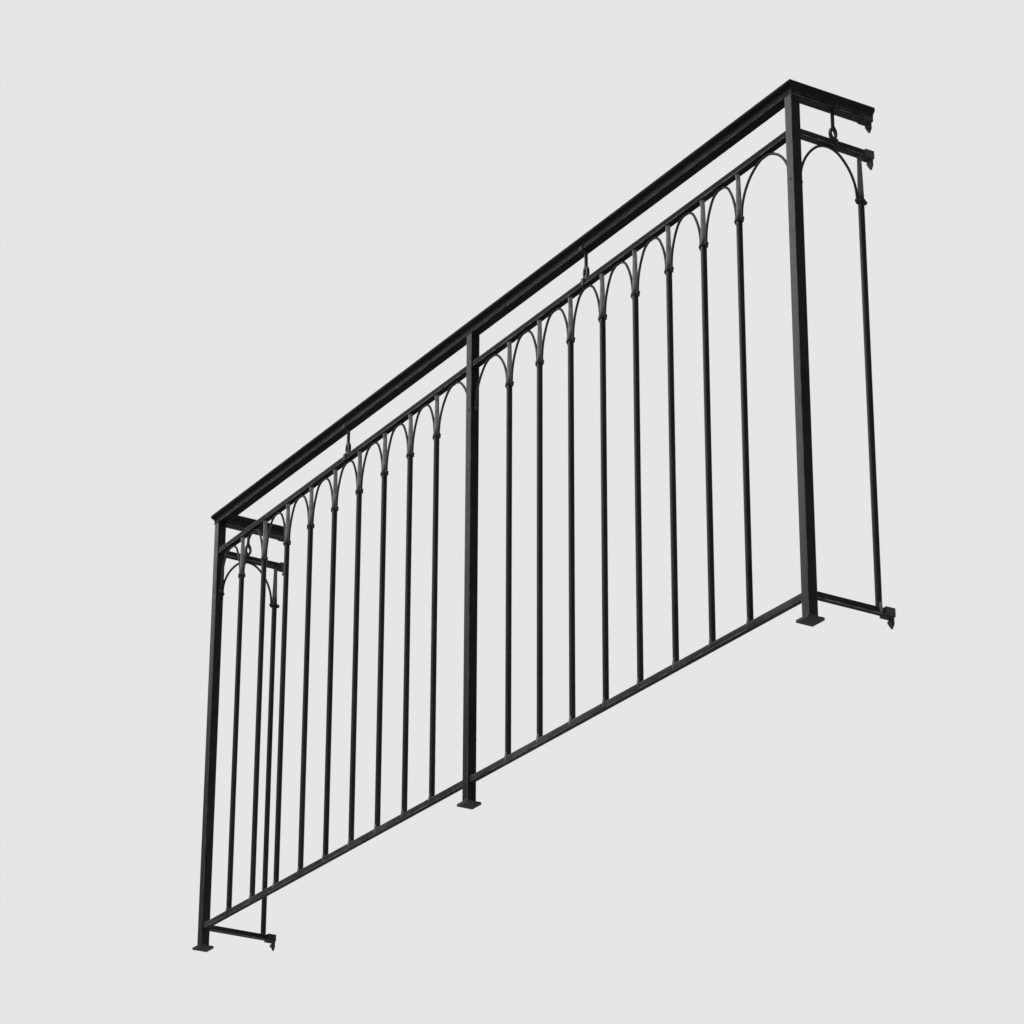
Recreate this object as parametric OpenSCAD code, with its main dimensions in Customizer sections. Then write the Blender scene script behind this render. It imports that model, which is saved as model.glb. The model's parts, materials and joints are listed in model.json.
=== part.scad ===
// Iron balcony railing with three sides, painted black, for a shallow window balcony.
// The front has two panels between three posts, and a short return at each end runs to the wall.
// Origin: centre of the underside of the middle post's base plate.
// X runs along the front to the right, Y towards the wall, Z up. All sizes in millimetres.

/* [Plan] */
// Left corner post to middle post, centre to centre
left_run = 1145; // [1100:1:1250]
// Middle post to right corner post, centre to centre
right_run = 1123; // [1080:1:1200]
// Front post centres to the face of the wall
return_depth = 176; // [165:1:200]
// Underside of the base plates to the top of the handrail
rail_height = 1056; // [900:1:1150]

/* [Posts and base plates] */
// Side of the square posts
post_w = 20; // [18:1:21]
// Side of the square base plates
base_w = 35; // [34:1:44]
// Thickness of the base plates
base_t = 5; // [4:1:8]
// Middle of each of the four screw holes to the edges of its base plate
base_hole_edge = 4; // [3.5:0.5:4.5]
// Diameter of the screw holes in a base plate
base_hole_d = 4.5; // [4:0.5:5]

/* [Handrail] */
// Width of the moulded cap
cap_w = 35; // [30:1:40]
// Radius of the round nose along each edge of the cap
nose_r = 7; // [5:0.5:8]
// Height of the middle of the nose above the underside of the cap
nose_rise = 13.5; // [12:0.5:16]
// Rise of the crown over the nose
crown_h = 1.5; // [1:0.5:4]
// Width of the flat bar that carries the cap
under_bar_w = 22; // [21:1:24]
// Height of the flat bar that carries the cap
under_bar_h = 7; // [5:1:10]

/* [Arch rail and bottom rail] */
// Width of the arch rail across the panel
arch_rail_w = 16; // [14:1:18]
// Width of the bottom rail across the panel
bottom_rail_w = 12; // [12:1:16]
// Height of both rails
rail_h = 12; // [10:1:14]
// Clear height of the frieze, between the arch rail and the cap's bar
frieze_h = 66; // [62:1:75]
// Underside of the bottom rail above the base
bottom_rail_z = 45; // [35:1:70]

/* [Balusters] */
// Diameter of the round balusters
bar_d = 12; // [10:0.5:14]
// Diameter of a baluster's drawn-down top
bar_top_d = 8; // [6:0.5:9]
// Length of the drawn-down top
bar_taper_h = 84; // [60:1:88]
// Balusters in the left front panel
left_bars = 9; // [7:1:9]
// Balusters in the right front panel
right_bars = 8; // [6:1:8]
// Left corner post to its nearest baluster in the front, centre to centre
left_end_bay = 120; // [100:1:150]
// Right corner post to its nearest baluster in the front, centre to centre
right_end_bay = 173; // [110:1:178]
// Middle post to the nearest baluster on each side, centre to centre
mid_bay = 145; // [120:1:150]
// Gap between the baluster of a return and the lugs at the wall
wall_bar_gap = 2; // [1:0.5:12]

/* [Hoops and collars] */
// Diameter of the bent rod of the hoops
hoop_d = 5; // [4:0.5:6]
// Underside of the arch rail down to the middle of the collars
collar_drop = 95; // [84:1:110]
// Height of a collar's band
collar_h = 5; // [4:0.5:7]
// Diameter of a collar's round middle
collar_d = 17; // [16:0.5:19]
// Diameter of the bead at each end of a collar
bead_d = 9; // [8.5:0.5:11]
// Reach of a hoop's foot below the middle of its collar
foot_reach = 6; // [5:0.5:8]
// Radius of a hoop's top arc, as a share of half its span
hoop_top_share = 0.68; // [0.6:0.02:0.8]

/* [Frieze spindles] */
// Outside width of a spindle's open eye
eye_w = 16; // [16:1:20]
// Height of the eye from tip to tip
eye_h = 34; // [30:1:42]
// Thickness of the two sides of the eye
eye_side = 4; // [3:0.5:4.5]
// Depth of the eye, front to back
eye_depth = 6; // [5:0.5:8]
// Diameter of the spindle's neck over the eye
neck_d = 7; // [6:0.5:8]
// Width of the straps that hold a spindle to the rails
strap_w = 8; // [7:0.5:10]
// Thickness of those straps
strap_t = 2; // [1.5:0.5:2.5]
// Length of the point under the lower strap
point_h = 7; // [5:0.5:9]
// Bays from the middle post to the left panel's spindle
left_spindle_bay = 4; // [1:1:8]
// Bays from the middle post to the right panel's spindle
right_spindle_bay = 3; // [1:1:7]
// Place of the left return's spindle, as a share of the bay from the corner post
left_spindle_share = 0.5; // [0.4:0.01:0.65]
// Place of the right return's spindle, as a share of the bay from the corner post
right_spindle_share = 0.61; // [0.4:0.01:0.65]

/* [Wall lugs] */
// Width of the lugs at the ends of the arch rails and bottom rails
lug_w = 20; // [18:1:24]
// Length of a lug's block along the return
lug_len = 20; // [14:1:21]
// How far a block reaches over and under its rail
lug_over = 2; // [1:0.5:4]
// Width of the tail under a lug
tail_w = 12; // [10:1:16]
// Length of the tail under a lug
tail_h = 20; // [18:1:26]
// Thickness of the tail
tail_t = 4; // [3:1:6]
// Diameter of the screw hole in a tail
lug_hole_d = 5; // [4:0.5:6]
// Middle of the screw hole below the block
lug_hole_drop = 9; // [7:0.5:10]

/* [Hidden] */

iron = [0.11, 0.115, 0.12];
iron_worn = [0.2, 0.2, 0.195];

// Clearance between a hoop's rod and the bar beside it
fit_gap = 0.3;
// Clearance all round a rod in the bore of a collar
bore_gap = 0.2;
// Two lengths of a hoop's rod end this far from their joint, and a small ball closes it
joint_gap = 0.2;
// How much thicker than the rod that ball is
joint_over = 0.1;
// Overlap that makes a cut come out clean
cut = 1;
// Diameter at the tip of the point under a spindle
point_tip_d = 1;
// Share of a tail's length that stays at full width
tail_straight = 0.6;

// Levels
cap_h = nose_rise + nose_r + crown_h;
cap_z = rail_height - cap_h;
under_bar_z = cap_z - under_bar_h;
arch_rail_top = under_bar_z - frieze_h;
arch_rail_z = arch_rail_top - rail_h;
collar_z = arch_rail_z - collar_drop;
bottom_rail_top = bottom_rail_z + rail_h;

// Spacing of the screw holes in a base plate
base_hole_pitch = base_w - 2 * base_hole_edge;

// Half width of a post and of a baluster, and how far beyond it a hoop's leg stands
post_half = post_w / 2;
bar_half = bar_d / 2;
leg_offset = hoop_d / 2 + fit_gap;

// Places along the front
left_x = -left_run;
right_x = right_run;
left_pitch = (left_run - mid_bay - left_end_bay) / (left_bars - 1);
right_pitch = (right_run - mid_bay - right_end_bay) / (right_bars - 1);
left_bar_x = [for (i = [0 : left_bars - 1]) -mid_bay - i * left_pitch];
right_bar_x = [for (i = [0 : right_bars - 1]) mid_bay + i * right_pitch];

// Places along a return, from the front posts' centres
rail_end_y = return_depth - lug_len;
return_bay = rail_end_y - wall_bar_gap - bar_half;

// Outline of the moulded cap: two coves that run into round noses, and a low crown between them
module cap_outline() {
    sole_half = under_bar_w / 2;
    nose_x = cap_w / 2 - nose_r;
    inset = sole_half - nose_x;
    cove_r = (inset * inset + nose_rise * nose_rise - nose_r * nose_r) / (2 * (nose_r - inset));
    share = cove_r / (cove_r + nose_r);
    meet_x = sole_half + cove_r - (cove_r + inset) * share;
    crown_z = nose_rise + nose_r;
    crown_r = (nose_x * nose_x + crown_h * crown_h) / (2 * crown_h);
    difference() {
        translate([-meet_x, 0]) square([2 * meet_x, nose_rise]);
        for (side = [-1, 1])
            translate([side * (sole_half + cove_r), 0]) circle(r = cove_r, $fn = 96);
    }
    translate([-nose_x, 0]) square([2 * nose_x, crown_z]);
    for (side = [-1, 1])
        translate([side * nose_x, nose_rise]) circle(r = nose_r, $fn = 64);
    intersection() {
        translate([-nose_x, crown_z - nose_r]) square([2 * nose_x, nose_r + crown_h]);
        translate([0, crown_z + crown_h - crown_r]) circle(r = crown_r, $fn = 192);
    }
}

// A length of cap along X, with its outline upright in the YZ plane
module cap_length(x_from, x_to) {
    translate([x_from, 0, cap_z]) rotate([90, 0, 90])
        linear_extrude(height = x_to - x_from) cap_outline();
}

// The cap of a return along Y, cut to the same mitre as the front cap
module return_cap(x, side) {
    half = cap_w / 2;
    color(iron) intersection() {
        translate([x, -half, cap_z]) rotate([90, 0, 180])
            linear_extrude(height = return_depth + half) cap_outline();
        translate([0, 0, cap_z - cut]) linear_extrude(height = cap_h + 2 * cut)
            polygon([
                [x + side * half, -half],
                [x + side * half, return_depth],
                [x - side * half, return_depth],
                [x - side * half, half]
            ]);
    }
}

// The flat bar under the front cap, from the middle of the railing to the mitre at a corner
module front_under_bar(corner_x, side) {
    half = under_bar_w / 2;
    color(iron) translate([0, 0, under_bar_z]) linear_extrude(height = under_bar_h)
        polygon([
            [0, -half],
            [corner_x + side * half, -half],
            [corner_x - side * half, half],
            [0, half]
        ]);
}

// The flat bar under the cap of a return, from the mitre to its lug
module return_under_bar(x, side) {
    half = under_bar_w / 2;
    color(iron) translate([0, 0, under_bar_z]) linear_extrude(height = under_bar_h)
        polygon([
            [x + side * half, -half],
            [x + side * half, rail_end_y],
            [x - side * half, rail_end_y],
            [x - side * half, half]
        ]);
}

// A square post on its base plate, up to the underside of the flat bar
module post_at(x) {
    color(iron) translate([x - post_half, -post_half, base_t])
        cube([post_w, post_w, under_bar_z - base_t]);
}

// A square base plate with four screw holes
module base_plate_at(x) {
    color(iron) difference() {
        translate([x - base_w / 2, -base_w / 2, 0]) cube([base_w, base_w, base_t]);
        for (sx = [-1, 1], sy = [-1, 1])
            translate([x + sx * base_hole_pitch / 2, sy * base_hole_pitch / 2, -cut])
                cylinder(d = base_hole_d, h = base_t + 2 * cut, $fn = 32);
    }
}

// A straight rail of the front, from one post face to the next
module front_bar(x_from, x_to, z, width) {
    color(iron) translate([x_from + post_half, -width / 2, z])
        cube([x_to - x_from - post_w, width, rail_h]);
}

// A straight rail of a return, from the corner post's face to its lug
module return_bar(x, z, width) {
    color(iron) translate([x - width / 2, post_half, z])
        cube([width, rail_end_y - post_half, rail_h]);
}

// A round baluster whose top is drawn down to a slimmer tip
module baluster() {
    shank_top = arch_rail_z - bar_taper_h;
    color(iron) {
        translate([0, 0, bottom_rail_top])
            cylinder(d = bar_d, h = shank_top - bottom_rail_top, $fn = 32);
        translate([0, 0, shank_top])
            cylinder(d1 = bar_d, d2 = bar_top_d, h = bar_taper_h, $fn = 32);
    }
}

// A length of rod bent to an arc in the XZ plane about the origin, a little short at both ends
module rod_arc(radius, start, turn) {
    trim = joint_gap / radius * 180 / PI;
    rotate([90, 0, 0]) rotate([0, 0, start + trim])
        rotate_extrude(angle = turn - 2 * trim, $fn = 96)
            translate([radius, 0]) circle(d = hoop_d, $fn = 20);
}

// The ball that joins two lengths of a hoop's rod
module rod_joint(x, z) {
    translate([x, 0, z]) sphere(d = hoop_d + joint_over, $fn = 20);
}

// A hoop along X: two upright feet, two long side arcs and a top arc that touches the arch rail
// from, to: places of the two feet's centres
module hoop(from, to) {
    middle = (from + to) / 2;
    half_span = (to - from) / 2;
    spring_z = collar_z + bead_d / 2;
    foot_z = collar_z - foot_reach;
    rise = arch_rail_z - hoop_d / 2 - spring_z;
    top_r = half_span * hoop_top_share;
    top_z = spring_z + rise - top_r;
    side_r = (half_span * half_span + rise * rise - 2 * rise * top_r) / (2 * (half_span - top_r));
    turn = atan2(rise - top_r, side_r - half_span);
    color(iron_worn) {
        for (x = [from, to]) {
            translate([x, 0, foot_z]) cylinder(d = hoop_d, h = spring_z - joint_gap - foot_z, $fn = 20);
            rod_joint(x, spring_z);
        }
        for (side = [-1, 1]) rod_joint(middle + side * top_r * cos(turn), top_z + top_r * sin(turn));
        translate([middle + half_span - side_r, 0, spring_z]) rod_arc(side_r, 0, turn);
        translate([middle - half_span + side_r, 0, spring_z]) rod_arc(side_r, 180 - turn, turn);
        translate([middle, 0, top_z]) rod_arc(top_r, turn, 180 - 2 * turn);
    }
}

// The hoops of a front panel: one in each bay between posts and balusters
// bars: baluster centres in rising order
module panel_hoops(x_from, x_to, bars) {
    starts = concat([x_from + post_half], [for (x = bars) x + bar_half]);
    ends = concat([for (x = bars) x - bar_half], [x_to - post_half]);
    for (i = [0 : len(starts) - 1])
        hoop(starts[i] + leg_offset, ends[i] - leg_offset);
}

// One bead of a collar, bored for the hoop's leg that it holds
// side: -1 or 1, half: half width of the bar or post behind the leg
module collar_bead(side, half) {
    translate([side * (half + leg_offset), 0, collar_z]) sphere(d = bead_d, $fn = 48);
}

module leg_bore(side, half) {
    translate([side * (half + leg_offset), 0, collar_z - bead_d])
        cylinder(d = hoop_d + 2 * bore_gap, h = 2 * bead_d, $fn = 24);
}

// A collar round a baluster and the two hoop legs beside it
module collar() {
    color(iron) difference() {
        union() {
            translate([0, 0, collar_z - collar_h / 2]) cylinder(d = collar_d, h = collar_h, $fn = 48);
            for (side = [-1, 1]) collar_bead(side, bar_half);
        }
        translate([0, 0, collar_z - bead_d])
            cylinder(d = bar_d + 2 * bore_gap, h = 2 * bead_d, $fn = 32);
        for (side = [-1, 1]) leg_bore(side, bar_half);
    }
}

// A half collar that holds one hoop leg against the face of a post
module post_collar(side) {
    reach = bead_d;
    color(iron) difference() {
        intersection() {
            collar_bead(side, post_half);
            translate([side * (post_half + reach / 2), 0, collar_z]) cube([reach, reach * 2, reach * 2], center = true);
        }
        leg_bore(side, post_half);
    }
}

module panel_collars(x_from, x_to, bars) {
    for (x = bars) translate([x, 0, 0]) collar();
    translate([x_from, 0, 0]) post_collar(1);
    translate([x_to, 0, 0]) post_collar(-1);
}

// Turns a piece drawn along X so that it runs along Y from the corner post at x
module on_return(x) {
    translate([x, 0, 0]) rotate([0, 0, 90]) children();
}

// Pointed oval with the given half width and half height
module pointed_oval(half_width, half_height) {
    radius = (half_width * half_width + half_height * half_height) / (2 * half_width);
    intersection() {
        translate([half_width - radius, 0]) circle(r = radius, $fn = 96);
        translate([radius - half_width, 0]) circle(r = radius, $fn = 96);
    }
}

// A frieze spindle in the XZ plane, strapped to the face at -Y
module spindle() {
    half_w = eye_w / 2;
    half_h = eye_h / 2;
    eye_z = arch_rail_top + strap_t + half_h - eye_side / 2;
    face_y = -arch_rail_w / 2 - strap_t;
    plate_y = neck_d / 2 - face_y;
    bar_face_y = -under_bar_w / 2 - strap_t;
    color(iron_worn) {
        translate([0, eye_depth / 2, eye_z]) rotate([90, 0, 0]) linear_extrude(height = eye_depth)
            difference() {
                pointed_oval(half_w, half_h);
                pointed_oval(half_w - eye_side, half_h - 2 * eye_side);
            }
        translate([0, 0, eye_z + half_h - eye_side])
            cylinder(d = neck_d, h = under_bar_z - eye_z - half_h + eye_side, $fn = 32);
        translate([-strap_w / 2, bar_face_y, under_bar_z - strap_t])
            cube([strap_w, neck_d / 2 - bar_face_y, strap_t]);
        translate([-strap_w / 2, bar_face_y, under_bar_z - strap_t])
            cube([strap_w, strap_t, under_bar_h + strap_t]);
        translate([-strap_w / 2, face_y, arch_rail_top]) cube([strap_w, plate_y, strap_t]);
        translate([-strap_w / 2, face_y, arch_rail_z])
            cube([strap_w, strap_t, rail_h + strap_t]);
        translate([0, face_y + strap_t / 2, arch_rail_z - point_h])
            cylinder(d1 = point_tip_d, d2 = strap_t, h = point_h, $fn = 24);
    }
}

// A lug at the wall: a block at a rail's end, with a pointed tail and a screw hole under it
// z, height: underside and height of the rail that it holds, width: width of the block
module lug_at(x, z, height, top_over, width) {
    block_z = z - lug_over;
    straight_h = tail_h * tail_straight;
    color(iron) difference() {
        union() {
            translate([x - width / 2, rail_end_y, block_z])
                cube([width, lug_len, height + lug_over + top_over]);
            translate([x, return_depth, block_z]) rotate([90, 0, 0]) linear_extrude(height = tail_t)
                polygon([
                    [-tail_w / 2, 0],
                    [-tail_w / 2, -straight_h],
                    [0, -tail_h],
                    [tail_w / 2, -straight_h],
                    [tail_w / 2, 0]
                ]);
        }
        translate([x, return_depth + cut, block_z - lug_hole_drop]) rotate([90, 0, 0])
            cylinder(d = lug_hole_d, h = tail_t + 2 * cut, $fn = 32);
    }
}

module mid_base_plate() { base_plate_at(0); }
module left_base_plate() { base_plate_at(left_x); }
module right_base_plate() { base_plate_at(right_x); }

module left_corner_post() { post_at(left_x); }
module mid_post() { post_at(0); }
module right_corner_post() { post_at(right_x); }

module front_handrail_cap() {
    half = cap_w / 2;
    color(iron) intersection() {
        cap_length(left_x - half, right_x + half);
        translate([0, 0, cap_z - cut]) linear_extrude(height = cap_h + 2 * cut)
            polygon([
                [left_x - half, -half],
                [right_x + half, -half],
                [right_x - half, half],
                [left_x + half, half]
            ]);
    }
}
module left_handrail_cap() { return_cap(left_x, -1); }
module right_handrail_cap() { return_cap(right_x, 1); }

module front_left_under_bar() { front_under_bar(left_x, -1); }
module front_right_under_bar() { front_under_bar(right_x, 1); }
module left_under_bar() { return_under_bar(left_x, -1); }
module right_under_bar() { return_under_bar(right_x, 1); }

module front_left_arch_rail() { front_bar(left_x, 0, arch_rail_z, arch_rail_w); }
module front_right_arch_rail() { front_bar(0, right_x, arch_rail_z, arch_rail_w); }
module left_arch_rail() { return_bar(left_x, arch_rail_z, arch_rail_w); }
module right_arch_rail() { return_bar(right_x, arch_rail_z, arch_rail_w); }

module front_left_bottom_rail() { front_bar(left_x, 0, bottom_rail_z, bottom_rail_w); }
module front_right_bottom_rail() { front_bar(0, right_x, bottom_rail_z, bottom_rail_w); }
module left_bottom_rail() { return_bar(left_x, bottom_rail_z, bottom_rail_w); }
module right_bottom_rail() { return_bar(right_x, bottom_rail_z, bottom_rail_w); }

module front_left_balusters() { for (x = left_bar_x) translate([x, 0, 0]) baluster(); }
module front_right_balusters() { for (x = right_bar_x) translate([x, 0, 0]) baluster(); }
module left_baluster() { translate([left_x, return_bay, 0]) baluster(); }
module right_baluster() { translate([right_x, return_bay, 0]) baluster(); }

module front_left_hoops() {
    rising = [for (i = [left_bars - 1 : -1 : 0]) left_bar_x[i]];
    panel_hoops(left_x, 0, rising);
}
module front_right_hoops() { panel_hoops(0, right_x, right_bar_x); }
module return_hoop() { hoop(post_half + leg_offset, return_bay - bar_half - leg_offset); }
module left_hoop() { on_return(left_x) return_hoop(); }
module right_hoop() { on_return(right_x) return_hoop(); }

module front_left_collars() { panel_collars(left_x, 0, left_bar_x); }
module front_right_collars() { panel_collars(0, right_x, right_bar_x); }
module return_collars() {
    post_collar(1);
    translate([return_bay, 0, 0]) collar();
}
module left_collars() { on_return(left_x) return_collars(); }
module right_collars() { on_return(right_x) return_collars(); }

module front_left_spindle() {
    translate([-mid_bay - (left_spindle_bay - 0.5) * left_pitch, 0, 0]) spindle();
}
module front_right_spindle() {
    translate([mid_bay + (right_spindle_bay - 0.5) * right_pitch, 0, 0]) spindle();
}
module left_spindle() {
    on_return(left_x) translate([return_bay * left_spindle_share, 0, 0]) rotate([0, 0, 180]) spindle();
}
module right_spindle() {
    on_return(right_x) translate([return_bay * right_spindle_share, 0, 0]) spindle();
}

module left_handrail_lug() { lug_at(left_x, under_bar_z, under_bar_h, 0, under_bar_w); }
module right_handrail_lug() { lug_at(right_x, under_bar_z, under_bar_h, 0, under_bar_w); }
module left_arch_rail_lug() { lug_at(left_x, arch_rail_z, rail_h, lug_over, lug_w); }
module right_arch_rail_lug() { lug_at(right_x, arch_rail_z, rail_h, lug_over, lug_w); }
module left_bottom_rail_lug() { lug_at(left_x, bottom_rail_z, rail_h, lug_over, lug_w); }
module right_bottom_rail_lug() { lug_at(right_x, bottom_rail_z, rail_h, lug_over, lug_w); }

mid_base_plate();
left_base_plate();
right_base_plate();
left_corner_post();
mid_post();
right_corner_post();
front_handrail_cap();
left_handrail_cap();
right_handrail_cap();
front_left_under_bar();
front_right_under_bar();
left_under_bar();
right_under_bar();
front_left_arch_rail();
front_right_arch_rail();
left_arch_rail();
right_arch_rail();
front_left_bottom_rail();
front_right_bottom_rail();
left_bottom_rail();
right_bottom_rail();
front_left_balusters();
front_right_balusters();
left_baluster();
right_baluster();
front_left_hoops();
front_right_hoops();
left_hoop();
right_hoop();
front_left_collars();
front_right_collars();
left_collars();
right_collars();
front_left_spindle();
front_right_spindle();
left_spindle();
right_spindle();
left_handrail_lug();
right_handrail_lug();
left_arch_rail_lug();
right_arch_rail_lug();
left_bottom_rail_lug();
right_bottom_rail_lug();
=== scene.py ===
# %% [markdown]
# # A painted iron balcony railing
# This lesson dresses a railing that was built to size in CAD. The solids arrive as a fixed frame in
# metres: X runs along the front to the right, Y towards the wall and Z up. Nothing in the frame is moved.
# We set it in a plain studio, and give it paint, soft arrises and the smith's small work.

# %% Load the frame
import json
import math
import random

import bmesh
import bpy
from mathutils import Matrix, Vector

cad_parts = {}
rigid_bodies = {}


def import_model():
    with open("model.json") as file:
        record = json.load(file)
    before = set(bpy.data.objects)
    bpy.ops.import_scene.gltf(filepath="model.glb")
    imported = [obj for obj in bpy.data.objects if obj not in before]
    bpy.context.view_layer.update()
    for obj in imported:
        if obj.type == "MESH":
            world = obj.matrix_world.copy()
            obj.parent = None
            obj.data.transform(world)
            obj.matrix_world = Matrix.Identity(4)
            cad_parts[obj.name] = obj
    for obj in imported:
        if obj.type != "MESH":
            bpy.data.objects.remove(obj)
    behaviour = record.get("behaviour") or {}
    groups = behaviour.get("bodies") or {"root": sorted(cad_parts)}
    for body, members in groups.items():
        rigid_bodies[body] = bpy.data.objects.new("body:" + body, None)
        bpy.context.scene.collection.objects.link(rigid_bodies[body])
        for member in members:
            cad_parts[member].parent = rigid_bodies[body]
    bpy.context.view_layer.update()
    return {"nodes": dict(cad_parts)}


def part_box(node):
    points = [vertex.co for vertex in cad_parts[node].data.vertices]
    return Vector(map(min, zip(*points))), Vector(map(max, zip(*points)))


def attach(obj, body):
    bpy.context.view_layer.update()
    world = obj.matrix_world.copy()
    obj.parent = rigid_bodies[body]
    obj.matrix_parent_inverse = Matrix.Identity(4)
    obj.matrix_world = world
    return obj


for old in list(bpy.data.objects):
    bpy.data.objects.remove(old)
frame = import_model()
nodes = frame["nodes"]

# %% [markdown]
# ## The camera
# The railing hangs above the viewer's head. A camera that looks up sees the undersides of the rails
# and the two near faces of each post. We could place a camera by hand, but a direction, a distance and
# a target are easier to read and to change, so the camera is built from those three.

# %% Camera
TARGET = Vector((0.1564, 0.0, 0.5675))
AZIMUTH = math.radians(58.479)
ELEVATION = math.radians(-23.978)
ROLL = math.radians(0.193)
DISTANCE = 6.722
LENS = 119.26
SENSOR = 36


def direction(azimuth, elevation):
    """A unit vector towards that side: azimuth 0 is the street, 90 degrees the right return."""
    return Vector((
        math.sin(azimuth) * math.cos(elevation),
        -math.cos(azimuth) * math.cos(elevation),
        math.sin(elevation),
    ))


def looking_matrix(target, away, distance, roll=0.0):
    """The place and turn of a camera or lamp that looks at target from that side."""
    turn = away.to_track_quat("Z", "Y").to_matrix().to_4x4()
    return Matrix.Translation(target + away * distance) @ turn @ Matrix.Rotation(roll, 4, "Z")


camera_data = bpy.data.cameras.new("camera")
camera_data.lens = LENS
camera_data.sensor_width = SENSOR
camera = bpy.data.objects.new("camera", camera_data)
camera.matrix_world = looking_matrix(TARGET, direction(AZIMUTH, ELEVATION), DISTANCE, ROLL)
bpy.context.scene.collection.objects.link(camera)
bpy.context.scene.camera = camera
print("camera at", [round(v, 3) for v in camera.matrix_world.translation])

# %% [markdown]
# ## Small tools for shader nodes
# Every finish here is a small net of nodes. Writing each link by hand hides the idea, so a few helpers
# make the usual steps one line each. The first ones start a material and give it a place to measure
# from and a random pattern. A pattern is handed on as the socket that the next step reads.

# %% Materials and patterns
def new_material(name):
    """An empty finish: the material, its tree and its shader."""
    material = bpy.data.materials.new(name)
    material.use_nodes = True
    return material, material.node_tree, material.node_tree.nodes["Principled BSDF"]


def feed(tree, socket, value):
    """Links a socket, or sets a plain value, on an input."""
    if isinstance(value, bpy.types.NodeSocket):
        tree.links.new(value, socket)
    elif hasattr(value, "__len__") and len(value) == 3 and socket.type == "RGBA":
        socket.default_value = (*value, 1.0)
    else:
        socket.default_value = value


def object_place(tree, scale=(1.0, 1.0, 1.0)):
    """Object coordinates in metres, stretched so that a pattern can run along a bar."""
    coordinates = tree.nodes.new("ShaderNodeTexCoord")
    mapping = tree.nodes.new("ShaderNodeMapping")
    mapping.inputs["Scale"].default_value = scale
    tree.links.new(coordinates.outputs["Object"], mapping.inputs["Vector"])
    return mapping.outputs["Vector"]


def noise(tree, place, scale, detail=3.0, roughness=0.55):
    """A soft random pattern, about 0.5 on average."""
    node = tree.nodes.new("ShaderNodeTexNoise")
    tree.links.new(place, node.inputs["Vector"])
    node.inputs["Scale"].default_value = scale
    node.inputs["Detail"].default_value = detail
    node.inputs["Roughness"].default_value = roughness
    return node.outputs["Fac"]


print("pattern helpers ready")

# %% [markdown]
# ## Small tools for numbers and colours
# A noise alone is grey mist. A change of range picks the part of it that we want to see, a product
# keeps what lies in two places at once, and a mix lays one colour over another by that share.

# %% Numbers and colours
def span(tree, value, low, high, to_low=0.0, to_high=1.0):
    """Carries low..high over to to_low..to_high, and stops at both ends."""
    node = tree.nodes.new("ShaderNodeMapRange")
    feed(tree, node.inputs["Value"], value)
    feed(tree, node.inputs["From Min"], low)
    feed(tree, node.inputs["From Max"], high)
    feed(tree, node.inputs["To Min"], to_low)
    feed(tree, node.inputs["To Max"], to_high)
    return node.outputs["Result"]


def maths(tree, operation, first, second):
    """One calculation with two numbers or sockets."""
    node = tree.nodes.new("ShaderNodeMath")
    node.operation = operation
    feed(tree, node.inputs[0], first)
    feed(tree, node.inputs[1], second)
    return node.outputs["Value"]


def product(tree, first, second):
    """Where both are high, the product is high."""
    return maths(tree, "MULTIPLY", first, second)


def mixed(tree, share, first, second):
    """A mix of two colours. This node keeps its colours at inputs 6 and 7 and at output 2."""
    node = tree.nodes.new("ShaderNodeMix")
    node.data_type = "RGBA"
    feed(tree, node.inputs[0], share)
    feed(tree, node.inputs[6], first)
    feed(tree, node.inputs[7], second)
    return node.outputs[2]


print("colour helpers ready")

# %% [markdown]
# ## The floor
# A pale floor carries the railing and catches its shadow. The camera of this picture stands below the
# floor, so the floor's back is clear and its front is solid: light from below the rails still comes off
# it. A ray that meets the floor within two millimetres of its start passes it too. Without that, no
# light would get in right under the plates, and their undersides would look like holes.

# %% Floor
FLOOR_COLOUR = (0.66, 0.645, 0.62)
FLOOR_LIGHT = (0.69, 0.675, 0.65)
FLOOR_HALF = 30.0
FLOOR_DROP = 0.0004
CONTACT = 0.002

floor_material, tree, shader = new_material("floor_plain")
grain = span(tree, noise(tree, object_place(tree), scale=3.0, detail=4.0), 0.3, 0.7)
feed(tree, shader.inputs["Base Color"], mixed(tree, grain, FLOOR_COLOUR, FLOOR_LIGHT))
shader.inputs["Roughness"].default_value = 0.9
shader.inputs["Specular IOR Level"].default_value = 0.1
clear = tree.nodes.new("ShaderNodeBsdfTransparent")
two_sided = tree.nodes.new("ShaderNodeMixShader")
from_behind = tree.nodes.new("ShaderNodeNewGeometry").outputs["Backfacing"]
ray_length = tree.nodes.new("ShaderNodeLightPath").outputs["Ray Length"]
too_near = maths(tree, "LESS_THAN", ray_length, CONTACT)
tree.links.new(maths(tree, "MAXIMUM", from_behind, too_near), two_sided.inputs["Fac"])
tree.links.new(shader.outputs["BSDF"], two_sided.inputs[1])
tree.links.new(clear.outputs["BSDF"], two_sided.inputs[2])
tree.links.new(two_sided.outputs["Shader"], tree.nodes["Material Output"].inputs["Surface"])

bm = bmesh.new()
bmesh.ops.create_grid(bm, x_segments=8, y_segments=8, size=FLOOR_HALF)
bmesh.ops.translate(bm, vec=(0.0, 0.0, -FLOOR_DROP), verts=bm.verts)
floor_mesh = bpy.data.meshes.new("floor")
bm.to_mesh(floor_mesh)
bm.free()
floor_mesh.materials.append(floor_material)
floor = bpy.data.objects.new("floor", floor_mesh)
bpy.context.scene.collection.objects.link(floor)
print("floor faces:", len(floor_mesh.polygons))

# %% [markdown]
# ## A screen with two cards
# The sky is a pale screen all round. Glossy black paint shows what it mirrors more than its own colour,
# so the screen carries two cards, as a product table would. A dark card to the right keeps the faces
# that look along the right return black. A low grey card on the street side makes each upright fade
# from a light head to a dark foot. We could hang real cards, but shares of the world's own colour cast
# no shadow and take no room.

# %% Cards
DARK_CARD_AZIMUTH = math.radians(115)
LOW_CARD_AZIMUTH = math.radians(-35)

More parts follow.
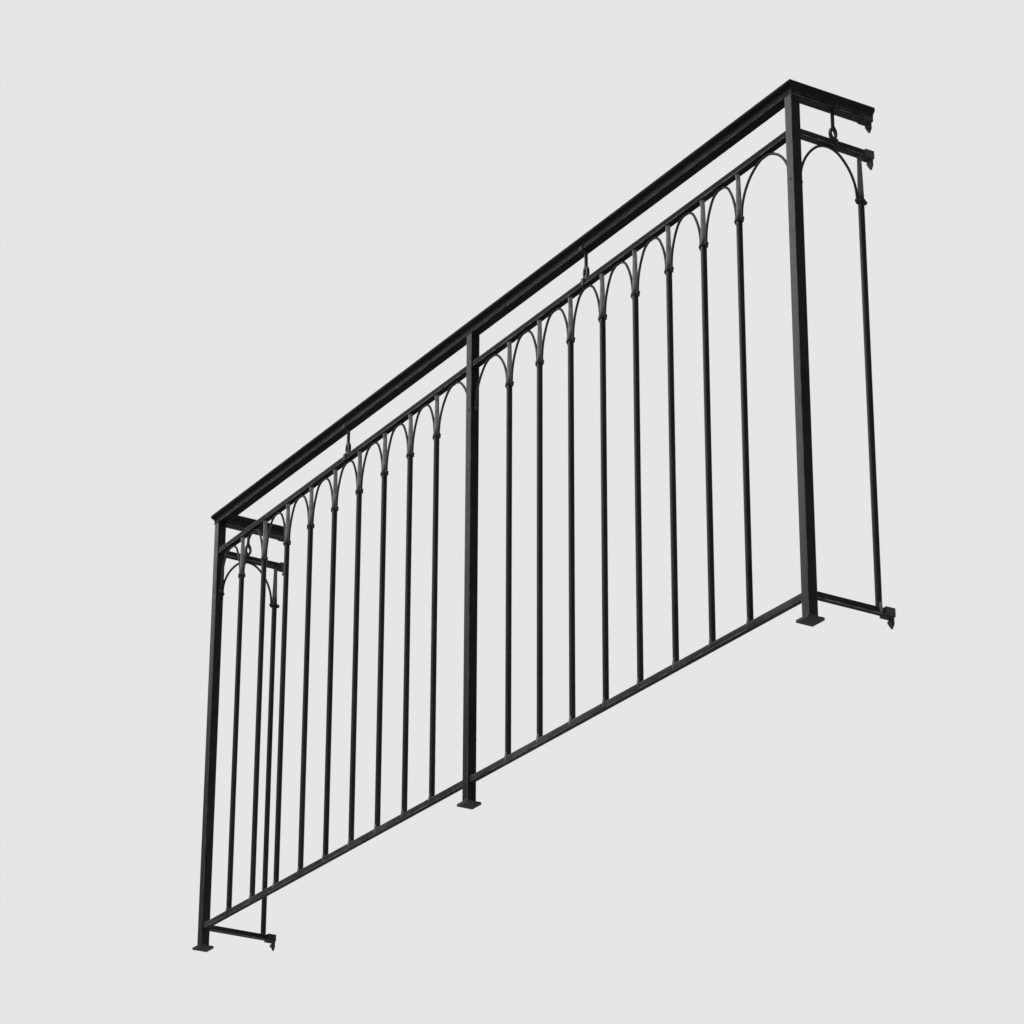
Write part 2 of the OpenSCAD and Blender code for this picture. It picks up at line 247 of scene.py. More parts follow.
world = bpy.data.worlds.new("studio")
world.use_nodes = True
bpy.context.scene.world = world
sky = world.node_tree
towards = sky.nodes.new("ShaderNodeTexCoord").outputs["Generated"]
split = sky.nodes.new("ShaderNodeSeparateXYZ")
sky.links.new(towards, split.inputs["Vector"])
height = split.outputs["Z"]


def card(azimuth, edge, full, bottom, top):
    """A share that is 1 on the card and fades out at its sides, its bottom and its top."""
    nearness = sky.nodes.new("ShaderNodeVectorMath")
    nearness.operation = "DOT_PRODUCT"
    sky.links.new(towards, nearness.inputs[0])
    nearness.inputs[1].default_value = direction(azimuth, 0.0)
    band = product(sky, span(sky, height, *bottom), span(sky, height, *top))
    return product(sky, span(sky, nearness.outputs["Value"], edge, full), band)


dark_card = card(DARK_CARD_AZIMUTH, edge=-0.10, full=0.30, bottom=(0.12, 0.22), top=(0.92, 0.75))
low_card = card(LOW_CARD_AZIMUTH, edge=0.31, full=0.50, bottom=(0.14, 0.19), top=(0.46, 0.34))
print("cards hung at", round(math.degrees(DARK_CARD_AZIMUTH)), "and", round(math.degrees(LOW_CARD_AZIMUTH)))

# %% [markdown]
# ## What each ray sees
# The camera sees the plain screen, so the background stays plain. Mirrored rays, and rays through clear
# things, see the screen with its cards. All other rays meet an even, nearly white light, which fills
# the shadows. A Light Path node tells these rays apart.

# %% Screen
PALE = (0.80, 0.79, 0.775)
HORIZON = (0.66, 0.645, 0.62)
DARK_CARD = (0.085, 0.081, 0.074)
GREY_CARD = (0.17, 0.17, 0.172)
AMBIENT_COLOUR = (1.0, 0.99, 0.97)
AMBIENT = 0.68

path = sky.nodes.new("ShaderNodeLightPath")
plain = mixed(sky, span(sky, height, 0.0, 0.2), HORIZON, PALE)
hung = mixed(sky, dark_card, mixed(sky, low_card, plain, GREY_CARD), DARK_CARD)
screen = sky.nodes["Background"]
feed(sky, screen.inputs["Color"], mixed(sky, path.outputs["Is Camera Ray"], hung, plain))
ambient = sky.nodes.new("ShaderNodeBackground")
feed(sky, ambient.inputs["Color"], AMBIENT_COLOUR)
feed(sky, ambient.inputs["Strength"], AMBIENT)
seen = maths(sky, "MAXIMUM", path.outputs["Is Camera Ray"], path.outputs["Is Glossy Ray"])
seen = maths(sky, "MAXIMUM", seen, path.outputs["Is Transmission Ray"])
both = sky.nodes.new("ShaderNodeMixShader")
sky.links.new(seen, both.inputs["Fac"])
sky.links.new(ambient.outputs["Background"], both.inputs[1])
sky.links.new(screen.outputs["Background"], both.inputs[2])
sky.links.new(both.outputs["Shader"], sky.nodes["World Output"].inputs["Surface"])
bpy.context.scene.view_settings.view_transform = "Standard"
print("screen made, ambient", AMBIENT)

# %% [markdown]
# ## Two soft lamps
# A polished black bar has no colour to show, only highlights. The street faces mirror the sky above the
# low card, so the first lamp is a very wide box there: flat posts show it as a soft grey, and round
# bars as a stripe down their left third. A second box overhead draws the thin light line on the
# handrail's round nose. A lamp that the camera can't see leaves the background plain.

# %% Lamps
def soft_box(name, azimuth, elevation, distance, width, depth, glow, colour):
    """A lamp aimed at the target. Its face is as bright as glow says, whatever its size."""
    data = bpy.data.lights.new(name, "AREA")
    data.shape = "RECTANGLE"
    data.size = width
    data.size_y = depth
    data.energy = glow * math.pi * width * depth
    data.color = colour
    lamp = bpy.data.objects.new(name, data)
    away = direction(math.radians(azimuth), math.radians(elevation))
    lamp.matrix_world = looking_matrix(TARGET, away, distance)
    lamp.visible_camera = False
    bpy.context.scene.collection.objects.link(lamp)
    print(name, round(data.energy), "W at", [round(v, 2) for v in lamp.matrix_world.translation])


soft_box(
    "sky_box", azimuth=-27, elevation=35, distance=7.0, width=12.6, depth=2.6, glow=1.3,
    colour=(0.93, 0.97, 1.0),
)
soft_box(
    "top_box", azimuth=-10, elevation=75, distance=4.5, width=4.0, depth=3.0, glow=0.7,
    colour=(1.0, 1.0, 1.0),
)

# %% [markdown]
# ## Tools for paint
# A paint needs three more steps: to know how far a face looks up, to show a fine relief in the shading
# without cutting it into the mesh, and to make a patch rougher than the rest.

# %% Relief and roughness
RELIEF_DEPTH = 0.0002


def axis_share(tree, vector, axis):
    """One number of a vector: X, Y or Z."""
    node = tree.nodes.new("ShaderNodeSeparateXYZ")
    tree.links.new(vector, node.inputs["Vector"])
    return node.outputs[axis]


def bumped(tree, height, strength, under=None):
    """A relief in the shading only, laid over another one if there is one."""
    node = tree.nodes.new("ShaderNodeBump")
    feed(tree, node.inputs["Height"], height)
    node.inputs["Strength"].default_value = strength
    node.inputs["Distance"].default_value = RELIEF_DEPTH
    if under is not None:
        tree.links.new(under, node.inputs["Normal"])
    return node.outputs["Normal"]


def rougher(tree, rough, share, amount):
    """The roughness, with up to amount added where share is 1."""
    return maths(tree, "ADD", rough, product(tree, share, amount))


print("paint helpers ready")

# %% [markdown]
# ## Black paint
# Railings are brushed or sprayed with satin black. Close up, the paint is never one black: it clouds a
# little, dust lies on what looks up, the undersides are painted a warm brown as painted bounce light
# from below, and brush marks follow the bar. One recipe serves the whole railing, and each group of
# pieces changes the numbers and the way the marks run. Over their collars, the necks of the bars are
# painted a lighter grey.

# %% Paint recipe
DUST = (0.115, 0.105, 0.09)
# PAINTED_BOUNCE_BROWN is painted bounce light: the warm brown laid on faces that look down
PAINTED_BOUNCE_BROWN = (0.010, 0.0075, 0.005)
CLOUD_LIFT = 2.2
CLOUD_HAZE = 0.004
ROUGH_BELOW = 0.05
ROUGH_ABOVE = 0.07
DUST_ROUGH = 0.5
UNDER_ROUGH = 0.42
NECK_ROUGH = 0.14
PEEL = 0.05
BRUSH = 0.07
NECK_FROM = 0.857
NECK_FADE = 0.02
ALONG = 9.0
ACROSS = 420.0
MARKS = {
    "x": (ALONG, ACROSS, ACROSS),
    "y": (ACROSS, ALONG, ACROSS),
    "z": (ACROSS, ACROSS, ALONG),
    "none": (90.0, 90.0, 90.0),
}


def black_paint(
    name, colour, roughness, along, cloud=0.35, under=0.75, dust=0.45, gloss=0.36, relief=1.0, neck=None,
):
    """Satin black with clouds, marks along a bar, a painted warm bounce tint below, dust on top and a
    lighter neck.
    """
    material, tree, shader = new_material(name)
    place = object_place(tree)
    clouds = noise(tree, place, scale=8.0, detail=4.0)
    mottle = noise(tree, place, scale=75.0, detail=4.0)
    marks = noise(tree, object_place(tree, MARKS[along]), scale=1.0)
    peel = noise(tree, place, scale=700.0, detail=1.5)
    up = axis_share(tree, tree.nodes.new("ShaderNodeNewGeometry").outputs["Normal"], "Z")

    light = tuple(c * (1.0 + CLOUD_LIFT * cloud) + CLOUD_HAZE * cloud for c in colour)
    deep = tuple(c * (1.0 - cloud) for c in colour)
    paint = mixed(tree, span(tree, clouds, 0.3, 0.7), deep, light)
    paint = mixed(tree, span(tree, marks, 0.55, 0.8, 0.0, 0.35), paint, light)
    # painted bounce light: faces that look down are tinted warm brown, as light bounced up from below would
    bounce_tint = product(tree, span(tree, up, -0.3, -0.9), span(tree, mottle, 0.35, 0.7, 0.35, under))
    paint = mixed(tree, bounce_tint, paint, PAINTED_BOUNCE_BROWN)
    settled = product(tree, span(tree, up, 0.45, 0.95), span(tree, mottle, 0.3, 0.75, 0.1, dust))
    paint = mixed(tree, settled, paint, DUST)
    rough = span(tree, mottle, 0.3, 0.7, roughness - ROUGH_BELOW, roughness + ROUGH_ABOVE)
    if neck is not None:
        # the necks over the collars are painted a lighter grey and made rougher
        over_collar = span(tree, axis_share(tree, place, "Z"), NECK_FROM, NECK_FROM + NECK_FADE)
        lighter_neck = product(tree, over_collar, span(tree, mottle, 0.25, 0.6, 0.45, 1.0))
        paint = mixed(tree, lighter_neck, paint, neck)
        rough = rougher(tree, rough, lighter_neck, NECK_ROUGH)
    rough = rougher(tree, rough, settled, DUST_ROUGH)
    rough = rougher(tree, rough, span(tree, up, -0.2, -0.7), UNDER_ROUGH)

    feed(tree, shader.inputs["Base Color"], paint)
    feed(tree, shader.inputs["Roughness"], rough)
    shader.inputs["Specular IOR Level"].default_value = gloss
    skin = bumped(tree, peel, PEEL * relief)
    feed(tree, shader.inputs["Normal"], bumped(tree, marks, BRUSH * relief, skin))
    print("paint:", name)
    return material


# %% [markdown]
# ## Worn arrises
# Paint is thin on a sharp edge, so the arrises go grey first, and here and there a brown speck shows.
# The rubs could be painted on a map, but the bevels are narrow, and one noise along them looks the same.

# %% Worn arris recipe
THIN_BLACK = (0.016, 0.016, 0.016)
BROWN_SPECK = (0.07, 0.038, 0.02)


def worn_arris(name, grey):
    """Thin paint on a sharp edge: black with grey rubs and a few brown specks."""
    material, tree, shader = new_material(name)
    place = object_place(tree)
    rubs = noise(tree, place, scale=32.0, detail=5.0, roughness=0.7)
    specks = noise(tree, place, scale=420.0, detail=2.0)
    paint = mixed(tree, span(tree, rubs, 0.42, 0.66), THIN_BLACK, grey)
    paint = mixed(tree, span(tree, specks, 0.68, 0.76, 0.0, 0.6), paint, BROWN_SPECK)
    feed(tree, shader.inputs["Base Color"], paint)
    feed(tree, shader.inputs["Roughness"], span(tree, rubs, 0.4, 0.65, 0.36, 0.52))
    shader.inputs["Specular IOR Level"].default_value = 0.5
    feed(tree, shader.inputs["Normal"], bumped(tree, specks, 0.08))
    print("arris:", name)
    return material


# %% [markdown]
# ## The finishes
# The recipes now make one finish for each group of pieces. The posts and bars are the glossiest. The
# handrail and the front rails mirror little, so they stay blackest, and the handrail's black is painted
# darker still as painted shade. The lugs and plates are a duller grey. Some finishes are lit and shaded
# copies of the one black paint: the front bottom rail and the return rails are painted lighter as painted
# light, the middle post is painted bluer as a painted sky reflection, and the tongues at the feet are
# painted pale as a painted highlight. The necks of the return bars are painted a dimmer grey than the
# front ones.

# %% Finishes
POST_BLACK = (0.0058, 0.0060, 0.0062)
# the middle post's black is painted bluer, a painted reflection of the blue sky
POST_SKY_REFLECTION_BLACK = (0.0058, 0.0060, 0.0066)
# the handrail's black is painted darker than the other paint, as painted shade
CAP_SHADED_BLACK = (0.0032, 0.0033, 0.0034)
RAIL_BLACK = (0.0062, 0.0062, 0.0062)
# the return rails are painted a lighter black than the front rails, as painted light
RETURN_PAINTED_LIGHT_BLACK = (0.0070, 0.0068, 0.0065)
# the front bottom rail is painted a lighter grey than the same black elsewhere, as painted light
LOW_RAIL_PAINTED_LIGHT_GREY = (0.0170, 0.0170, 0.0175)
BAR_BLACK = (0.0068, 0.0072, 0.0078)
FORGED_BLACK = (0.0072, 0.0072, 0.0072)
# the foot tongues are painted a pale blue-grey, a painted highlight
TONGUE_HIGHLIGHT_GREY = (0.055, 0.057, 0.062)
LUG_GREY = (0.0190, 0.0180, 0.0165)
WELD_BLACK = (0.0080, 0.0080, 0.0080)
NECK_GREY = (0.190, 0.195, 0.205)
DIM_NECK_GREY = (0.075, 0.077, 0.080)

post_paint = black_paint("post_paint", POST_BLACK, 0.28, "z")
post_paint_middle = black_paint("post_paint_middle", POST_SKY_REFLECTION_BLACK, 0.28, "z", gloss=0.2)
cap_paint_x = black_paint("cap_paint_front", CAP_SHADED_BLACK, 0.36, "x", cloud=0.3, gloss=0.05)
cap_paint_y = black_paint("cap_paint_return", CAP_SHADED_BLACK, 0.36, "y", cloud=0.4, gloss=0.16)
rail_paint_x = black_paint("rail_paint_front", RAIL_BLACK, 0.29, "x", cloud=0.5, gloss=0.03)
low_rail_paint = black_paint("rail_paint_low", LOW_RAIL_PAINTED_LIGHT_GREY, 0.30, "x", cloud=0.9, gloss=0.14)
rail_paint_y = black_paint("rail_paint_return", RETURN_PAINTED_LIGHT_BLACK, 0.31, "y", cloud=0.5, gloss=0.24)
bar_paint = black_paint("bar_paint", BAR_BLACK, 0.28, "z", relief=0.25, neck=NECK_GREY)
return_bar_paint = black_paint("bar_paint_return", BAR_BLACK, 0.28, "z", relief=0.25, neck=DIM_NECK_GREY)
forged_paint = black_paint("forged_paint", FORGED_BLACK, 0.34, "none", cloud=0.5)
tongue_highlight_paint = black_paint("tongue_highlight_paint", TONGUE_HIGHLIGHT_GREY, 0.40, "none", cloud=0.8, under=0.3)
lug_paint = black_paint("lug_paint", LUG_GREY, 0.44, "none", cloud=0.6, under=0.9)
weld_paint = black_paint("weld_paint", WELD_BLACK, 0.42, "none", cloud=0.6, under=0.4, dust=0.6)
arris_paint = worn_arris("arris_paint", (0.085, 0.085, 0.083))
# the rails' arris grey is lighter than the others: partly worn paint, partly a painted highlight along the
# edge
rail_arris_wear_and_highlight = worn_arris("rail_arris_wear_and_highlight", (0.19, 0.19, 0.187))
forged_arris = worn_arris("forged_arris", (0.06, 0.06, 0.058))
screw_finish = worn_arris("screw_finish", (0.12, 0.12, 0.118))

# %% [markdown]
# ## Paint on the CAD pieces
# Each CAD node keeps its mesh. We may only change its material slots and add modifiers. The slots
# hold one plain finish from the CAD file, so we swap it for ours and add the worn finish as a second
# slot, which the bevel in the next step uses.

# %% Dress the nodes
def paint_for(name):
    """The paint and the arris finish of a CAD node, from its name."""
    along_front = name.startswith("front")
    if "handrail_cap" in name:
        return (cap_paint_x if along_front else cap_paint_y), arris_paint
    if along_front and "bottom_rail" in name:
        return low_rail_paint, rail_arris_wear_and_highlight
    if name.endswith("rail") or "under_bar" in name:
        return (rail_paint_x if along_front else rail_paint_y), rail_arris_wear_and_highlight
    if "lug" in name or "base_plate" in name:
        return lug_paint, arris_paint
    if "baluster" in name:
        return (bar_paint if along_front else return_bar_paint), arris_paint
    if "post" in name:
        return (post_paint_middle if name.startswith("mid") else post_paint), arris_paint
    return forged_paint, forged_arris


for name, node in nodes.items():
    paint, arris = paint_for(name)
    for slot in node.material_slots:
        slot.material = paint
    node.data.materials.append(arris)
print("dressed", len(nodes), "nodes")

# %% [markdown]
# ## Soft arrises
# A sawn and ground bar has no perfectly sharp edge. A narrow bevel catches a thin line of light, and
# that line is most of what tells the eye that a black bar is solid. The CAD meshes are loose triangles,
# so a weld comes first, then the bevel on real corners only, then normals that keep the flats flat.
# Round a hole the long thin triangles would cross each other in the bevel, so on plates and lugs the
# flat faces are joined up before it, and the bevel stays narrower than the metal beside the hole. A
# node takes the first width whose word its name holds, so the lugs come before the rails.

# %% Bevel the square work
MM = 0.001
ARRIS_MM = {
    "lug": 0.6, "base_plate": 0.6, "post": 1.0, "handrail_cap": 0.7, "under_bar": 0.8, "arch_rail": 1.5,
    "bottom_rail": 1.2, "spindle": 0.4, "collars": 0.5,
}
ARRIS_SLOT = 1
CORNER = math.radians(35)
FLAT = math.radians(1)

bevelled = 0
for name, node in nodes.items():
    width = next((mm for key, mm in ARRIS_MM.items() if key in name), None)
    if width is None:
        continue
    weld = node.modifiers.new("weld", "WELD")
    weld.merge_threshold = 0.01 * MM
    if "plate" in name or "lug" in name:
        flat = node.modifiers.new("flat", "DECIMATE")
        flat.decimate_type = "DISSOLVE"
        flat.angle_limit = FLAT
    arris = node.modifiers.new("arris", "BEVEL")
    arris.width = width * MM
    arris.segments = 2
    arris.limit_method = "ANGLE"
    arris.angle_limit = CORNER
    arris.material = ARRIS_SLOT
    flats = node.modifiers.new("flats", "WEIGHTED_NORMAL")
    flats.weight = 60
    bevelled += 1
print("bevelled nodes:", bevelled)

# %% [markdown]
# ## Tools for the small work
# Screws, welds, rivets and forged feet hold a railing together, and they tell the eye its scale. Each
# kind is modelled once and copied to its places. All numbers from here on are millimetres, so that they
# read like the notes beside a drawing. Round things come first: an outline spun about an axis, as on a
# lathe.

# %% Turn an outline
def turned(outline, segments=24):
    """An outline of (radius, height) spun once about Z."""
    bm = bmesh.new()
    points = [bm.verts.new((radius * MM, 0.0, height * MM)) for radius, height in outline]
    edges = [bm.edges.new(pair) for pair in zip(points, points[1:])]
    bmesh.ops.spin(
        bm, geom=points + edges, cent=(0, 0, 0), axis=(0, 0, 1), angle=math.tau, steps=segments,
        use_merge=True,
    )
    bmesh.ops.remove_doubles(bm, verts=bm.verts, dist=0.001 * MM)
    return bm


print("turning ready")

# %% [markdown]
# ## Drawn-out things
# A smith draws out hot iron, so that its section changes along its way. Here one round section is
# carried through a row of places, and each place stretches it to its own width and thickness. Extruding
# the end face again and again keeps the bar closed.

# %% Draw out a bar
def section(centre, along, half_width, half_thick):
    """The place of one section of a bar: its centre, its way and half of its two sizes."""
    way = Vector(along).normalized()
    across = Vector((1.0, 0.0, 0.0)) if abs(way.x) < 0.9 else Vector((0.0, 1.0, 0.0))
    square = Matrix((across * half_width * MM, way.cross(across) * half_thick * MM, way * MM)).transposed()
    return Matrix.Translation(Vector(centre) * MM) @ square.to_4x4()


def drawn(sections, segments):
    """A closed bar whose round section passes through every place in turn."""
    bm = bmesh.new()
    ring = bmesh.ops.create_circle(bm, cap_ends=True, radius=1.0, segments=segments)["verts"]
    bmesh.ops.transform(bm, matrix=sections[0], verts=ring)
    bm.faces.ensure_lookup_table()
    start = end = bm.faces[0]
    for before, after in zip(sections, sections[1:]):
        grown = bmesh.ops.extrude_face_region(bm, geom=[end])["geom"]
        if end is not start:
            bmesh.ops.delete(bm, geom=[end], context="FACES_ONLY")
        end = next(part for part in grown if isinstance(part, bmesh.types.BMFace))
        moved = [part for part in grown if isinstance(part, bmesh.types.BMVert)]
        bmesh.ops.transform(bm, matrix=after @ before.inverted(), verts=moved)
    return bm


print("drawing out ready")

# %% [markdown]
# ## Copies in their places
# Every screw, bead and tongue comes many times. Separate objects would make a long list, so the copies
# of one kind are joined in one mesh. A place is a matrix, and places can be multiplied: first to the
# post, then out to its face.

# %% Place, repeat and join
def at(x, y, z, turn=0.0, axis="Z"):
    """A place in millimetres, with a turn in degrees."""
    return Matrix.Translation((x * MM, y * MM, z * MM)) @ Matrix.Rotation(math.radians(turn), 4, axis)


def joined(parts):
    """One bmesh from several, which are freed."""
    whole = bmesh.new()
    carrier = bpy.data.meshes.new("carrier")
    for part in parts:
        part.to_mesh(carrier)
        whole.from_mesh(carrier)
        part.free()
    bpy.data.meshes.remove(carrier)
    return whole


def repeated(item, places):
    """One bmesh with a copy of item at every place."""
    copies = []
    for place in places:
        copy = item.copy()
        copy.transform(place)
        copies.append(copy)
    return joined(copies)


print("copying ready")

# %% [markdown]
# ## Finishing a piece
# A bmesh becomes a piece when it has normals that point outwards, smooth faces, hard real corners and a
# paint. It then rides with the railing's one body. An edge with one face would be a hole, so we count
# them.

# %% Finish a piece
HARD = math.radians(38)


def finished(bm, name, paint):
    """Turns a bmesh into a piece that rides with the railing, smooth except at real corners."""
    bmesh.ops.recalc_face_normals(bm, faces=bm.faces)
    for face in bm.faces:
        face.smooth = True
    for edge in bm.edges:
        edge.smooth = edge.calc_face_angle(0.0) < HARD
    loose = sum(1 for edge in bm.edges if len(edge.link_faces) != 2)
    mesh = bpy.data.meshes.new(name)
    bm.to_mesh(mesh)
    bm.free()
    mesh.materials.append(paint)
    piece = bpy.data.objects.new(name, mesh)
    bpy.context.scene.collection.objects.link(piece)
    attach(piece, "root")
    print(name, "faces:", len(mesh.polygons), "open edges:", loose)


# %% [markdown]
# ## Where things are
# The railing repeats itself: three posts, seventeen front bars and one bar on each return. Posts, rails
# and plates are nodes of their own, so their places come from their CAD boxes. The front bars of one
# panel share a node, so their spacing is written down here, and the boxes' ends are printed beside it
# as a check.

# %% Posts, rails and bars
X, Y, Z = 0, 1, 2
POST_NODES = {"left": "left_corner_post", "middle": "mid_post", "right": "right_corner_post"}
FIRST_BAR = 145.0
LEFT_PITCH = 110.0
RIGHT_PITCH = 115.0


def ends(name, axis):
    """Both ends of a CAD node along an axis, to a tenth of a millimetre."""
    return tuple(round(corner[axis] / MM, 1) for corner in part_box(name))


def middle(name, axis):
    """The middle of a CAD node along an axis."""
    return sum(ends(name, axis)) / 2


posts = {side: middle(name, X) for side, name in POST_NODES.items()}
post_half = ends("mid_post", X)[1]
wall_bar = middle("left_baluster", Y)
left_bars = [-FIRST_BAR - LEFT_PITCH * number for number in range(9)]
right_bars = [FIRST_BAR + RIGHT_PITCH * number for number in range(8)]
front_places = [at(x, 0.0, 0.0) for x in left_bars + right_bars]
return_places = [at(posts["left"], wall_bar, 0.0, -90.0), at(posts["right"], wall_bar, 0.0, 90.0)]
print("posts at", posts, "return bars at", wall_bar)
print("left bars", left_bars[-1], "to", left_bars[0], "in", ends("front_left_balusters", X))
print("right bars", right_bars[0], "to", right_bars[-1], "in", ends("front_right_balusters", X))

# %% [markdown]
# ## Screws in the base plates
# Each plate is held by four screws, one in each corner hole. From the street no head rises above the
# plate's edge, so the heads are low domes with a six-sided socket. The screw is turned with a round
# socket, and the socket's rings are then pulled out to six sides. Every head stops at its own angle in
# real work, so each copy gets a small seeded turn.

# %% Base screws
def six_sided(bm, inner, outer, half_flat):
    """Pulls the rings between two radii out to a hexagon."""
    for vert in bm.verts:
        radius = vert.co.xy.length
        if inner * MM < radius < outer * MM:
            angle = math.atan2(vert.co.y, vert.co.x) % (math.pi / 3) - math.pi / 6
            vert.co.xy *= half_flat * MM / math.cos(angle) / radius


HOLE_REACH = 13.5
dice = random.Random(7)
plate_top = ends("mid_base_plate", Z)[1]
screw = turned([
    (0, -4.7), (1.7, -4.7), (2.0, -4.3), (2.0, 0.0), (3.45, 0.0), (3.6, 0.12), (3.5, 0.45), (3.1, 0.85),
    (2.5, 1.2), (1.85, 1.38), (1.7, 1.32), (1.65, 0.2), (0.4, 0.05), (0, 0.05),
])
six_sided(screw, inner=1.6, outer=1.75, half_flat=1.5)
screw_places = [
    at(x + sx * HOLE_REACH, sy * HOLE_REACH, plate_top, dice.uniform(0.0, 60.0))
    for x in posts.values() for sx in (-1, 1) for sy in (-1, 1)
]
finished(repeated(screw, screw_places), "base_screws", screw_finish)

# %% [markdown]
# ## Studs and nuts in the wall tails
# The three lugs at the end of each return hang a flat tail against the wall. A threaded stud stands in
# its hole, with a washer and a hexagon nut. A real thread is a spiral, but at this size turned ridges
# look the same and stay light.

# %% Wall studs
LUGS = ("left_handrail_lug", "left_arch_rail_lug", "left_bottom_rail_lug")
TAIL_THICK = 4.0
HOLE_OVER_TIP = 11.0
RIDGES = 4
RIDGE_PITCH = 0.42
RIDGES_FROM = 4.6


def hexagon_nut(radius, low, high, soft):
    """A six-sided drum from low to high with softened rims."""
    bm = bmesh.new()
    drum = bmesh.ops.create_cone(
        bm, cap_ends=True, segments=6, radius1=radius * MM, radius2=radius * MM,
        depth=(high - low) * MM, matrix=Matrix.Translation((0.0, 0.0, (low + high) / 2 * MM)),
    )["verts"]
    edges = {edge for vert in drum for edge in vert.link_edges}
    rims = [edge for edge in edges if abs(edge.verts[0].co.z - edge.verts[1].co.z) < 0.0001 * MM]
    bmesh.ops.bevel(
        bm, geom=rims, offset=soft * MM, offset_type="OFFSET", segments=2, profile=0.5,
        affect="EDGES", material=-1,
    )
    return bm


thread = []
for number in range(RIDGES):
    crest = RIDGES_FROM + RIDGE_PITCH * number
    thread += [(2.3, crest), (2.02, crest + RIDGE_PITCH / 2)]
stud = turned([(0, -3.5), (2.25, -3.5), (2.25, 4.2)] + thread + [(1.6, 6.6), (0, 6.6)], 20)
washer = turned([(2.45, 0.0), (4.55, 0.0), (4.7, 0.15), (4.7, 0.75), (4.55, 0.9), (2.45, 0.9), (2.45, 0.0)])
nut = hexagon_nut(radius=4.5, low=0.9, high=4.3, soft=0.45)

tail_face = ends(LUGS[0], Y)[1] - TAIL_THICK
hole_heights = [ends(lug, Z)[0] + HOLE_OVER_TIP for lug in LUGS]
for name, item in (("wall_studs", stud), ("wall_washers", washer), ("wall_nuts", nut)):
    places = [
        at(posts[side], tail_face, z, 90.0, "X") @ Matrix.Rotation(dice.uniform(0.0, 1.0), 4, "Z")
        for side in ("left", "right") for z in hole_heights
    ]
    finished(repeated(item, places), name, screw_finish)

# %% [markdown]
# ## Weld beads at the feet
# The posts are welded to their plates on all four sides. A bead is a row of frozen ripples, so its
# section swells and shrinks a little from step to step, and it thins out at both ends. Half of it sinks
# into the parts that it joins, as a real bead does.

# %% Foot welds
RIPPLE = 0.8
WANDER = 0.08
TIP = 0.45
FADE = 6.0
SHORTER = 1.0
FOOT_BEAD = 1.65


def bead(length, radius):
    """A rippled bead along X, centred."""
    count = max(4, round(length / RIPPLE))
    sections = []
    for number in range(count + 1):
        share = number / count
        fullness = TIP + (1.0 - TIP) * min(1.0, FADE * min(share, 1.0 - share))
        swell = radius * fullness * dice.uniform(0.86, 1.08)
        centre = ((share - 0.5) * length, dice.uniform(-WANDER, WANDER), dice.uniform(-WANDER, WANDER))
        sections.append(section(centre, (1.0, dice.uniform(-0.1, 0.1), 0.0), swell, swell))
    return drawn(sections, 10)


foot_places = [
    at(x, 0.0, plate_top) @ at(0.0, 0.0, 0.0, 90.0 * side) @ at(0.0, -post_half, 0.0)
    for x in posts.values() for side in range(4)
]
foot_bead = bead(2 * post_half - SHORTER, FOOT_BEAD)
finished(repeated(foot_bead, foot_places), "foot_welds", weld_paint)

# %% [markdown]
# ## Weld beads at the rails
# Each end of an arch rail or bottom rail meets a post with a bead underneath and one on each side. The
# top has none, because a bead there would catch water. Each end is a post and the way that the rail
# leaves it, so one list serves both heights.

# %% Rail welds
RAIL_ENDS = [("left", 0), ("middle", 180), ("middle", 0), ("right", 180), ("left", 90), ("right", 90)]
RAIL_BEAD = 1.05

rail_beads = []
for rail in ("front_left_arch_rail", "front_left_bottom_rail"):
    half = ends(rail, Y)[1]
    low, high = ends(rail, Z)
    under = [at(posts[post], 0, 0, turn) @ at(post_half, 0.0, low, 90.0) for post, turn in RAIL_ENDS]
    sides = [
        at(posts[post], 0, 0, turn) @ at(post_half, face * half, (low + high) / 2, 90.0, "Y")
        for post, turn in RAIL_ENDS for face in (-1, 1)
    ]
    rail_beads.append(repeated(bead(2 * half - SHORTER, RAIL_BEAD), under))
    rail_beads.append(repeated(bead(high - low - SHORTER, RAIL_BEAD), sides))
finished(joined(rail_beads), "rail_welds", weld_paint)

# %% [markdown]
# ## Forged tongues
# Both ends of every bar are drawn out into a thin tongue on the outer side. At the top it is a small
# leaf on the neck of the bar, and it stops under the arch rail. At the foot it is broader and blunt,
# and laps the outer face of the bottom rail. It is what a smith does before welding from behind.

# %% Tongues on the rails
def tongue(rail_edge, rows):
    """A strip through rows of y, height over the rail's edge, half width and half thickness."""
    sections = []
    for number, (y, over, half_width, half_thick) in enumerate(rows):
        before, after = rows[max(number - 1, 0)], rows[min(number + 1, len(rows) - 1)]
        way = (0.0, after[0] - before[0], after[1] - before[1])
        sections.append(section((0.0, y, rail_edge + over), way, half_width, half_thick))
    return drawn(sections, 16)


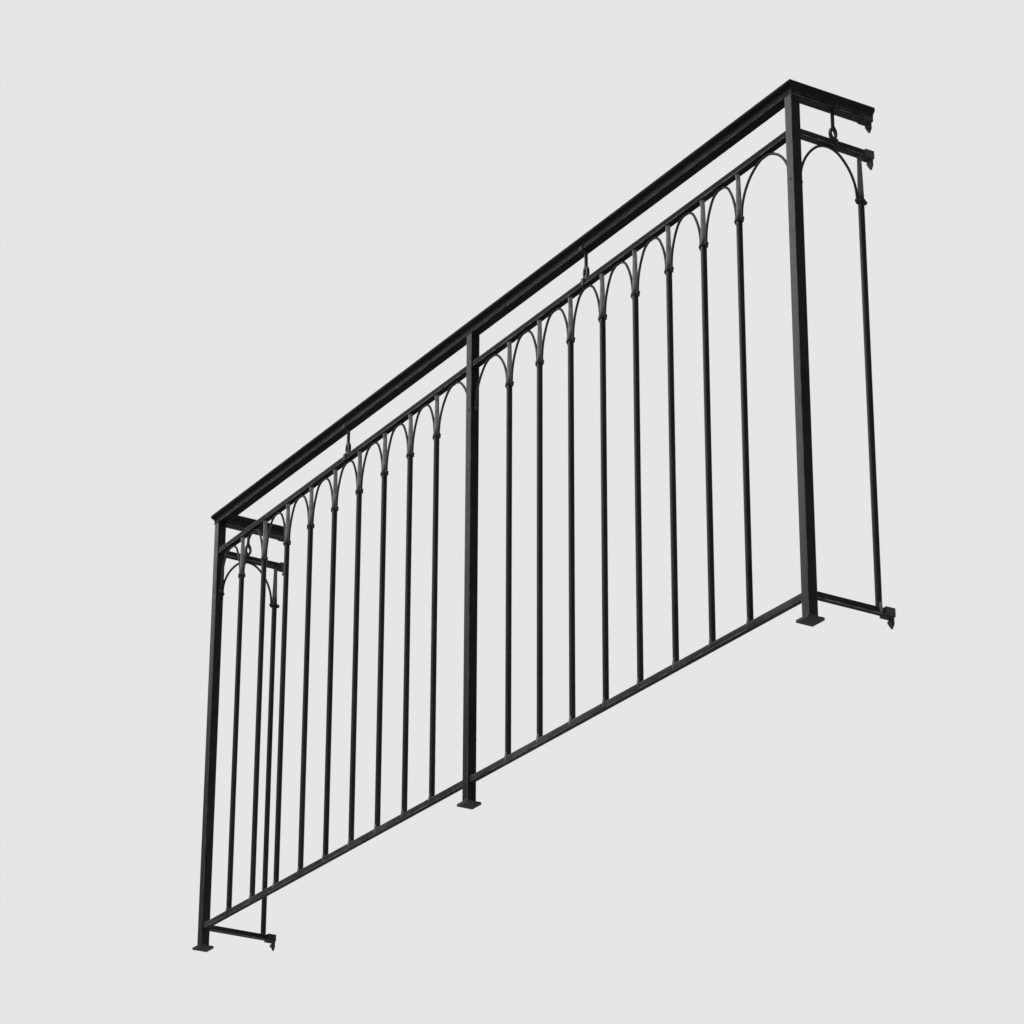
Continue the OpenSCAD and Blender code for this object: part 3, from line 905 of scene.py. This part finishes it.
top_tongue = tongue(ends("front_left_arch_rail", Z)[0], [
    (-2.6, -20.0, 1.6, 1.4), (-3.2, -15.0, 2.2, 1.5), (-3.7, -10.0, 2.6, 1.4), (-4.1, -6.0, 2.7, 1.3),
    (-4.5, -2.7, 2.5, 1.1), (-4.7, -0.7, 1.9, 0.9), (-4.7, 0.2, 1.0, 0.5),
])
foot_tongue = tongue(ends("front_left_bottom_rail", Z)[1], [
    (-3.9, 15.0, 2.0, 1.5), (-4.2, 11.0, 2.6, 1.7), (-4.5, 8.0, 3.1, 1.75), (-4.9, 4.0, 3.6, 1.7),
    (-5.7, 0.5, 3.8, 1.3), (-6.3, -3.0, 3.8, 0.95), (-6.4, -6.2, 3.6, 0.8), (-6.3, -8.4, 2.9, 0.7),
    (-6.1, -9.2, 1.7, 0.4),
])
finished(repeated(top_tongue, front_places), "top_tongues", bar_paint)
finished(repeated(top_tongue, return_places), "return_top_tongues", return_bar_paint)
# the foot tongues wear the pale finish, a painted highlight
finished(repeated(foot_tongue, front_places + return_places), "foot_tongues", tongue_highlight_paint)

# %% [markdown]
# ## Rivets and pins
# Each open-eye spindle ends in two straps, and each strap has a small domed rivet. On both returns the
# rivets face right. For the left return that is the inner side, where they stand 1.4 mm off the metal.
# The posts carry one pin each on the street face, level with the collars, where the hoops' half collars
# are fixed through. A rivet head is a dome turned from an arc.

# %% Rivets
STRAP = 2.0
SUNK = 0.6


def dome(radius, height):
    """A rivet head that rises from its face and sinks a little into it."""
    turns = [step * math.pi / 12 for step in range(7)]
    arc = [(radius * math.cos(turn), height * math.sin(turn)) for turn in turns]
    return turned([(0.0, -SUNK), (radius, -SUNK)] + arc, 18)


spindle_places = [at(middle(name, X), 0, 0) for name in ("front_left_spindle", "front_right_spindle")]
spindle_places += [at(posts[side], middle(side + "_spindle", Y), 0, 90) for side in ("left", "right")]
rivet_places = [
    place @ at(0.0, -ends(bar, Y)[1] - STRAP, middle(bar, Z), 90.0, "X")
    for place in spindle_places for bar in ("front_left_arch_rail", "front_left_under_bar")
]
finished(repeated(dome(1.7, 1.1), rivet_places), "strap_rivets", forged_arris)
pin_height = middle("front_left_collars", Z)
pin_places = [at(x, -post_half, pin_height, 90.0, "X") for x in posts.values()]
finished(repeated(dome(2.2, 1.2), pin_places), "post_pins", forged_arris)
